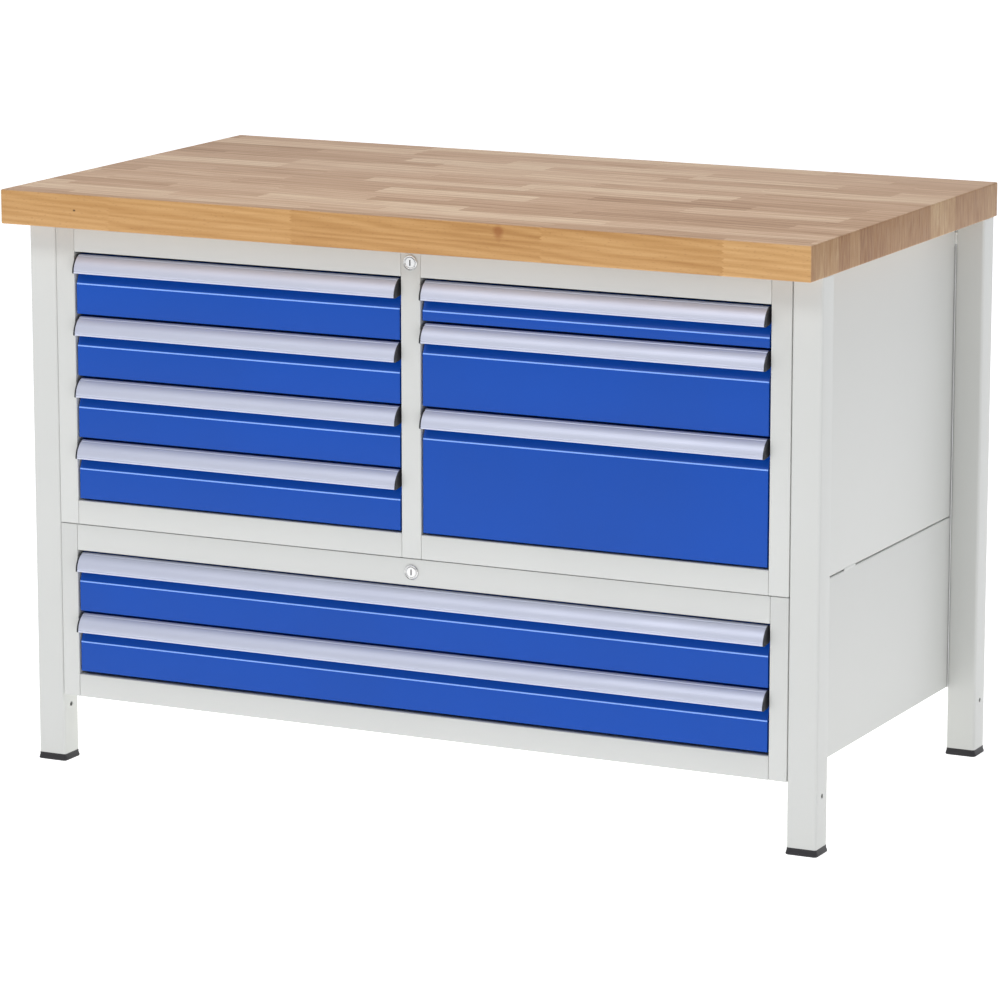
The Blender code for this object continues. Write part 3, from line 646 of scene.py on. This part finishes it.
for level in ("upper", "lower"):
    low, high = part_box(f"{level}_lock_barrel")
    plug_low, plug_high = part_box(f"{level}_lock_plug")
    centre = Vector(((low.x + high.x) / 2, frame_front, (low.z + high.z) / 2))
    flange = (high.x - low.x) / 2
    proud = centre.y - low.y
    bore = (plug_high.x - plug_low.x) / 2 + 0.3 * MM
    back = centre.y - high.y
    barrel_profile = [
        (flange - 1.5 * MM, -1 * MM), (flange, 0.1 * MM), (flange, proud * 0.35),
        (flange - 0.4 * MM, proud * 0.75), (flange - 1.1 * MM, proud),
        (flange - 1.7 * MM, proud * 0.95), (flange - 2.0 * MM, proud * 0.55),
        (flange - 2.4 * MM, proud * 0.55), (flange - 2.7 * MM, proud * 0.95),
        (bore + 0.3 * MM, proud), (bore, proud - 0.4 * MM), (bore, back),
        (flange - 1.5 * MM, back)]
    barrel_shape = bmesh.new()
    add_turned(barrel_shape, barrel_profile, centre)
    barrel = finish_piece(f"{level}_barrel", barrel_shape, NICKEL, "bench", 30)
    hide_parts(f"{level}_lock_barrel")

    radius = (plug_high.x - plug_low.x) / 2
    face = centre.y - plug_low.y
    slot_half, slot_reach = 0.9 * MM, 4.2 * MM
    plug_shape = bmesh.new()
    # the face in two halves on either side of the keyway, from arcs
    start = math.degrees(math.asin(slot_half / radius))
    for sign in (1, -1):
        half = [(slot_half, -slot_reach), *arc_points((0, 0), radius, -85, 85, 28),
                (slot_half, slot_reach)]
        outline = [(centre.x + sign * a, centre.z + b) for a, b in half]
        add_prism(plug_shape, outline, "Y", centre.y - face, centre.y - back)
    for sign in (1, -1):
        cheek = [(-slot_half, sign * slot_reach), (slot_half, sign * slot_reach),
                 (0.6 * MM, sign * (radius - 0.05 * MM)),
                 (-0.6 * MM, sign * (radius - 0.05 * MM))]
        outline = [(centre.x + a, centre.z + b) for a, b in cheek]
        add_prism(plug_shape, outline, "Y", centre.y - face, centre.y - back)
    plug = finish_piece(f"{level}_plug", plug_shape, NICKEL, f"{level}_lock_plug", 30)
    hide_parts(f"{level}_lock_plug")
    # a black block fills each keyway behind its mouth: painted shadow in place of the slot's own shade
    keyway_shadow_shape = bmesh.new()
    add_block(keyway_shadow_shape,
              (centre.x - slot_half, centre.y - face + 1.2 * MM, centre.z - slot_reach),
              (centre.x + slot_half, centre.y + 8 * MM, centre.z + slot_reach), 0.1 * MM, 1)
    keyway = finish_piece(f"{level}_keyway", keyway_shadow_shape, KEYWAY_PAINTED_SHADOW, f"{level}_lock_plug")

# ---- Drawer fronts ----
# One folded sheet each, gentian blue powder coat: a flat face, a bend painted paler as a highlight, a finger
# recess that slopes back under the grip, and returns on all sides.

BLUE_COAT = powder_coat("gentian_blue_powder_coat", "#034AAE", "#0345A2", 0.33, 0.22, 0.3)
# a paler, glossier blue painted along the bend as its highlight, in place of the light the bend catches
PAINTED_HIGHLIGHT_BLUE = powder_coat("blue_coat_painted_bend_highlight", "#8DB6FF", "#82ADF8", 0.2, 0.6, 0.1)
FRONT_SHEET = 1.2 * MM
BEND_DROP = 43 * MM
GRIP_DROP = 26.5 * MM
RECESS_DEPTH = 7.5 * MM
FOLD_RADII = (1.6 * MM, 4.5 * MM, 1.6 * MM, 1.6 * MM)     # the bend is rolled softer
BEND_BAND = 1.0 * MM            # half the height of the painted highlight along the bend
RETURN_DEPTH = 10 * MM


def filleted(points, radii, steps=5):
    """An open run of points with its inner corners rounded, each to its own radius."""
    rounded = [points[0]]
    for before, corner, after, radius in zip(points, points[1:], points[2:], radii):
        corner_v = Vector(corner)
        to_before = (Vector(before) - corner_v)
        to_after = (Vector(after) - corner_v)
        angle = to_before.angle(to_after)
        cut = radius / math.tan(angle / 2)
        cut = min(cut, to_before.length * 0.45, to_after.length * 0.45)
        reach = cut * math.tan(angle / 2)
        bisector = (to_before.normalized() + to_after.normalized()).normalized()
        centre = corner_v + bisector * math.hypot(reach, cut)
        first = corner_v + to_before.normalized() * cut - centre
        last = corner_v + to_after.normalized() * cut - centre
        for step in range(steps + 1):
            blend = first.lerp(last, step / steps)
            rounded.append(tuple(centre + blend.normalized() * reach))
    rounded.append(points[-1])
    return rounded


def sheet_outline(points, thickness):
    """The closed outline of sheet whose face is a run of points, its back to their right."""
    back = []
    for at, point in enumerate(points):
        before = Vector(points[max(at - 1, 0)])
        after = Vector(points[min(at + 1, len(points) - 1)])
        run = (after - before).normalized()
        back.append((point[0] + run.y * thickness, point[1] - run.x * thickness))
    return list(points) + back[::-1]


DRAWERS = sorted({name[:-len("_tray")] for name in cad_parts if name.endswith("_tray")})

for drawer in DRAWERS:
    low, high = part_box(f"{drawer}_front")
    face, top, bottom = low.y, high.z, low.z
    recess = face + RECESS_DEPTH
    bend_z = top + 1 * MM - BEND_DROP
    recess_z = top + 1 * MM - GRIP_DROP
    profile = [(face + 11 * MM, bottom), (face, bottom), (face, bend_z), (recess, recess_z),
               (recess, top), (recess + RETURN_DEPTH, top)]
    outline = sheet_outline(filleted(profile, FOLD_RADII), FRONT_SHEET)
    front_shape = bmesh.new()
    add_prism(front_shape, outline, "X", low.x + FRONT_SHEET, high.x - FRONT_SHEET)
    cheek = filleted(profile, FOLD_RADII)
    for start in (low.x, high.x - FRONT_SHEET):
        add_prism(front_shape, cheek, "X", start, start + FRONT_SHEET)
    # faces along the bend take the paler blue, a painted highlight
    for quad in front_shape.faces:
        middle = quad.calc_center_median()
        if abs(middle.z - bend_z) < BEND_BAND and middle.y < face + 0.6 * MM:
            quad.material_index = 1
    front = finish_piece(f"{drawer}_blue_front", front_shape, BLUE_COAT, drawer, 30)
    front.data.materials.append(PAINTED_HIGHLIGHT_BLUE)
    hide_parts(f"{drawer}_front")

# ---- Grips ----
# Extruded aluminium, satin anodised, the full width of each drawer. The face rolls forward
# to an upright lip, with fine lines that once guided a label, and black end caps close it.

LINE_DEPTH = 0.55 * MM
LINE_WIDTH = 0.7 * MM
GRIP_WALL = 1.8 * MM
CAP_THICKNESS = 2.5 * MM
GRIP_ARC_DEPTH = 16.5 * MM      # how far the face rolls forward from its top to its lip


def anodised_aluminium():
    """Satin anodised extrusion: fine die lines along its length, cool and slightly soft."""
    material, tree, shader, place = start_material("satin_anodised_aluminium", Metallic=0.45)
    lines_map = add_node(tree, "ShaderNodeMapping", {"Vector": place, "Scale": (1.5, 2600, 2600)})
    lines = add_node(tree, "ShaderNodeTexNoise", {"Vector": lines_map.outputs[0], "Scale": 1.0,
                                                  "Detail": 3.0}).outputs["Fac"]
    cloud = add_node(tree, "ShaderNodeTexNoise", {"Vector": place, "Scale": 9.0,
                                                  "Detail": 3.0}).outputs["Fac"]
    clouded = add_node(tree, "ShaderNodeMath", {0: cloud, 1: 0.4},
                       operation="MULTIPLY").outputs[0]
    share = add_node(tree, "ShaderNodeMath", {0: lines, 1: 0.6, 2: clouded},
                     operation="MULTIPLY_ADD").outputs[0]
    tint = add_node(tree, "ShaderNodeMix",
                    {0: share, 6: linear_colour("#BEC3D4"), 7: linear_colour("#CFD3E2")},
                    data_type="RGBA").outputs[2]
    tree.links.new(tint, shader.inputs["Base Color"])
    gloss = add_node(tree, "ShaderNodeMapRange", {0: share, 1: 0.3, 2: 0.7, 3: 0.54, 4: 0.46})
    tree.links.new(gloss.outputs[0], shader.inputs["Roughness"])
    bump = add_node(tree, "ShaderNodeBump", {"Height": lines, "Strength": 0.1,
                                             "Distance": 0.05 * MM})
    tree.links.new(bump.outputs[0], shader.inputs["Normal"])
    return material


SATIN_ALUMINIUM = anodised_aluminium()
CAP_BLACK = moulded_plastic("black_abs_end_cap", "#232427", "#303135", 0.42)


def grip_arcs(low, high):
    """The grip's outer face from its top to its lip, and where its centre lies."""
    drop = high.z - low.z
    sweep = 2 * math.atan(GRIP_ARC_DEPTH / drop)
    radius = drop / math.sin(sweep)
    centre = (low.y + radius, low.z)
    points = []
    steps = 40
    for step in range(steps + 1):
        turn = sweep * (1 - step / steps)
        below_top = drop - radius * math.sin(turn)
        above_lip = drop - below_top
        dip = 0.0
        for middle in (2.0 * MM, drop - 2.9 * MM):
            if abs(below_top - middle) < LINE_WIDTH / 2:
                dip = LINE_DEPTH
        if above_lip < 0.5 * MM:
            dip = max(dip, 0.25 * MM)
        reach = radius - dip
        points.append((centre[0] - reach * math.cos(turn), centre[1] + reach * math.sin(turn)))
    return points, centre, radius, sweep


for drawer in DRAWERS:
    low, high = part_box(f"{drawer}_grip")
    outer, centre, radius, sweep = grip_arcs(low, high)
    inner_radius = radius - GRIP_WALL
    inner = []
    for step in range(13):
        turn = sweep * step / 12
        inner.append((centre[0] - inner_radius * math.cos(turn),
                      centre[1] + inner_radius * math.sin(turn)))
    back = high.y
    leg_front = back - GRIP_WALL
    lip = [(low.y + 3.5 * MM, low.z), (low.y + 3.5 * MM, low.z + 1.2 * MM),
           (low.y + GRIP_WALL, low.z + 1.2 * MM)]
    leg = [(leg_front, high.z - GRIP_WALL), (leg_front, high.z - 20 * MM),
           (back, high.z - 20 * MM), (back, high.z)]
    grip_shape = bmesh.new()
    add_prism(grip_shape, outer + lip + inner[1:-1] + leg, "X", low.x, high.x)
    grip = finish_piece(f"{drawer}_aluminium_grip", grip_shape, SATIN_ALUMINIUM, drawer, 25)
    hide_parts(f"{drawer}_grip")

    cap_shape = bmesh.new()
    cap_radius = radius + 0.35 * MM
    arc = [(centre[0] - cap_radius * math.cos(sweep * (1 - step / 20)),
            centre[1] + cap_radius * math.sin(sweep * (1 - step / 20))) for step in range(21)]
    cap_outline = arc + [(low.y + 0.6 * MM, low.z - 0.5 * MM),
                         (back - 3 * MM, low.z + 1.5 * MM), (back, low.z + 5 * MM),
                         (back, high.z)]
    for start in (low.x - CAP_THICKNESS, high.x):
        add_prism(cap_shape, cap_outline, "X", start, start + CAP_THICKNESS)
    caps = finish_piece(f"{drawer}_grip_caps", cap_shape, CAP_BLACK, drawer, 30)
    softened = caps.modifiers.new("edges", "BEVEL")
    softened.width = 0.35 * MM
    softened.segments = 2
    softened.limit_method = "ANGLE"
    softened.angle_limit = math.radians(50)

# ---- Drawer trays ----
# Folded light grey trays with hemmed rims. Each wall is 1.2 mm sheet doubled over at the top,
# and the corners are spot welded. The base lies flat.

TRAY_SHEET = 1.2 * MM
HEM = 6 * MM

for drawer in DRAWERS:
    low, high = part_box(f"{drawer}_tray")
    tray_shape = bmesh.new()
    rim, sheet = high.z, TRAY_SHEET
    run = [(low.x + 2 * sheet, rim - HEM), (low.x + 2 * sheet, rim), (low.x, rim),
           (low.x, low.z), (high.x, low.z), (high.x, rim), (high.x - 2 * sheet, rim),
           (high.x - 2 * sheet, rim - HEM)]
    skin = filleted(run, [0.9 * MM] * len(run), 4)
    outline = sheet_outline(skin[::-1], sheet)
    add_prism(tray_shape, outline, "Y", low.y + sheet, high.y - sheet)
    for start in (low.y, high.y - 2 * sheet):
        add_block(tray_shape, (low.x + 0.3 * MM, start, low.z + 0.3 * MM),
                  (high.x - 0.3 * MM, start + 2 * sheet, rim), 0.5 * MM, 2)
    tray = finish_piece(f"{drawer}_folded_tray", tray_shape, GREY_COAT, drawer, 30)
    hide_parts(f"{drawer}_tray")

# ---- Runners ----
# Zinc-plated ball runners. The fixed channel is part of a plate on each side of a bank, and
# a slimmer bar rides in it on each side of the tray.


def zinc_plate():
    """Zinc plate: bluish grey steel with faint crystal patches and rolling marks."""
    material, tree, shader, place = start_material("zinc_plated_steel", Metallic=1.0)
    spangle = add_node(tree, "ShaderNodeTexVoronoi", {"Vector": place, "Scale": 160.0})
    cells = add_node(tree, "ShaderNodeSeparateColor", {0: spangle.outputs["Color"]}).outputs[0]
    rolled_map = add_node(tree, "ShaderNodeMapping", {"Vector": place, "Scale": (1200, 14, 1200)})
    rolled = add_node(tree, "ShaderNodeTexNoise", {"Vector": rolled_map.outputs[0],
                                                   "Scale": 1.0, "Detail": 2.0}).outputs["Fac"]
    marked = add_node(tree, "ShaderNodeMath", {0: rolled, 1: 0.5},
                      operation="MULTIPLY").outputs[0]
    share = add_node(tree, "ShaderNodeMath", {0: cells, 1: 0.45, 2: marked},
                     operation="MULTIPLY_ADD").outputs[0]
    tint = add_node(tree, "ShaderNodeMix",
                    {0: share, 6: linear_colour("#9FA4A8"), 7: linear_colour("#C6CACC")},
                    data_type="RGBA").outputs[2]
    tree.links.new(tint, shader.inputs["Base Color"])
    gloss = add_node(tree, "ShaderNodeMapRange", {0: share, 1: 0.2, 2: 0.8, 3: 0.34, 4: 0.5})
    tree.links.new(gloss.outputs[0], shader.inputs["Roughness"])
    return material


ZINC = zinc_plate()
RUNNER_HEIGHT = 12 * MM
RUNNER_THICKNESS = 2.6 * MM
RUNNER_LIFT = 0.45              # of the tray's height, where the bar is fixed

for drawer in DRAWERS:
    low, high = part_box(f"{drawer}_tray")
    middle = low.z + RUNNER_LIFT * (high.z - low.z)
    runner_shape = bmesh.new()
    for outer_x, outward in ((low.x, -1), (high.x, 1)):
        near_x, far_x = sorted((outer_x + outward * 0.1 * MM,
                                outer_x + outward * (0.1 * MM + RUNNER_THICKNESS)))
        add_block(runner_shape, (near_x, low.y + 20 * MM, middle - RUNNER_HEIGHT / 2),
                  (far_x, high.y - 4 * MM, middle + RUNNER_HEIGHT / 2), 0.6 * MM, 2)
    runners = finish_piece(f"{drawer}_runner_bars", runner_shape, ZINC, drawer)

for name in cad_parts:
    if name.endswith(("_rails", "_lock_bar")):
        bpy.data.objects[name].data.materials.clear()
        bpy.data.objects[name].data.materials.append(ZINC)
    if name.endswith(("_back_panel", "_divider")):
        bpy.data.objects[name].data.materials.clear()
        bpy.data.objects[name].data.materials.append(GREY_COAT)

# ---- Studio ----
# A pale floor, soft light from the front, from the right and from overhead, and a long lens,
# so that the long edges stay nearly parallel.

studio_material, studio_tree, studio_shader, studio_place = start_material(
    "white_studio_paper", Roughness=0.9, Specular_IOR_Level=0.1, Emission_Strength=0.8,
    Emission_Color=(1, 1, 1, 1))
paper = add_node(studio_tree, "ShaderNodeTexNoise", {"Vector": studio_place, "Scale": 2.0})
paper_tint = add_node(studio_tree, "ShaderNodeMix",
                      {0: paper.outputs["Fac"], 6: linear_colour("#F4F4F3"),
                       7: linear_colour("#F7F7F6")}, data_type="RGBA").outputs[2]
studio_tree.links.new(paper_tint, studio_shader.inputs["Base Color"])

floor_shape = bmesh.new()
bmesh.ops.create_grid(floor_shape, x_segments=1, y_segments=1, size=60)
floor_mesh = bpy.data.meshes.new("floor")
floor_shape.to_mesh(floor_mesh)
floor_shape.free()
floor_mesh.materials.append(studio_material)
floor = bpy.data.objects.new("floor", floor_mesh)
bpy.context.scene.collection.objects.link(floor)

# the room is bright around the bench and dimmer, a little bluer, overhead
world = bpy.data.worlds.new("studio")
bpy.context.scene.world = world
world.use_nodes = True
room = world.node_tree
ray = add_node(room, "ShaderNodeTexCoord").outputs["Generated"]
height = add_node(room, "ShaderNodeSeparateXYZ", {0: ray}).outputs["Z"]
overhead = add_node(room, "ShaderNodeMapRange", {0: height, 1: 0.05, 2: 0.75, 3: 0.0, 4: 1.0})
room_tint = add_node(room, "ShaderNodeMix",
                     {0: overhead.outputs[0], 6: (0.42, 0.42, 0.42, 1), 7: (0.36, 0.37, 0.42, 1)},
                     data_type="RGBA").outputs[2]
room.links.new(room_tint, room.nodes["Background"].inputs["Color"])


def add_softbox(name, place, aim, width, height, power):
    """An area light at a place, turned to face a point."""
    lamp = bpy.data.lights.new(name, "AREA")
    lamp.shape = "RECTANGLE"
    lamp.size = width
    lamp.size_y = height
    lamp.energy = power
    box = bpy.data.objects.new(name, lamp)
    box.location = place
    box.rotation_euler = (Vector(aim) - Vector(place)).to_track_quat("-Z", "Y").to_euler()
    bpy.context.scene.collection.objects.link(box)


add_softbox("key", (-1.0, -3.8, 4.2), (0, -0.3, 0.5), 1.2, 1.2, 74)
add_softbox("right", (4.2, -2.6, 1.5), (0.5, 0, 0.4), 1.4, 1.8, 9)
add_softbox("overhead", (0.2, 0.4, 4.2), (0, 0, 0.5), 3.0, 2.5, 66)

VIEW_AZIMUTH = math.radians(26.15)
VIEW_ELEVATION = math.radians(11.45)
VIEW_DISTANCE = 6.9
VIEW_TARGET = Vector((0.026, -0.059, 0.398))
toward_camera = Vector((math.sin(VIEW_AZIMUTH) * math.cos(VIEW_ELEVATION),
                        -math.cos(VIEW_AZIMUTH) * math.cos(VIEW_ELEVATION),
                        math.sin(VIEW_ELEVATION)))
lens = bpy.data.cameras.new("camera")
lens.lens = 172.6
lens.sensor_width = 36
lens.clip_end = 100
camera = bpy.data.objects.new("camera", lens)
camera.location = VIEW_TARGET + toward_camera * VIEW_DISTANCE
camera.rotation_euler = (-toward_camera).to_track_quat("-Z", "Y").to_euler()
bpy.context.scene.collection.objects.link(camera)
bpy.context.scene.camera = camera
bpy.context.scene.view_settings.view_transform = "Standard"
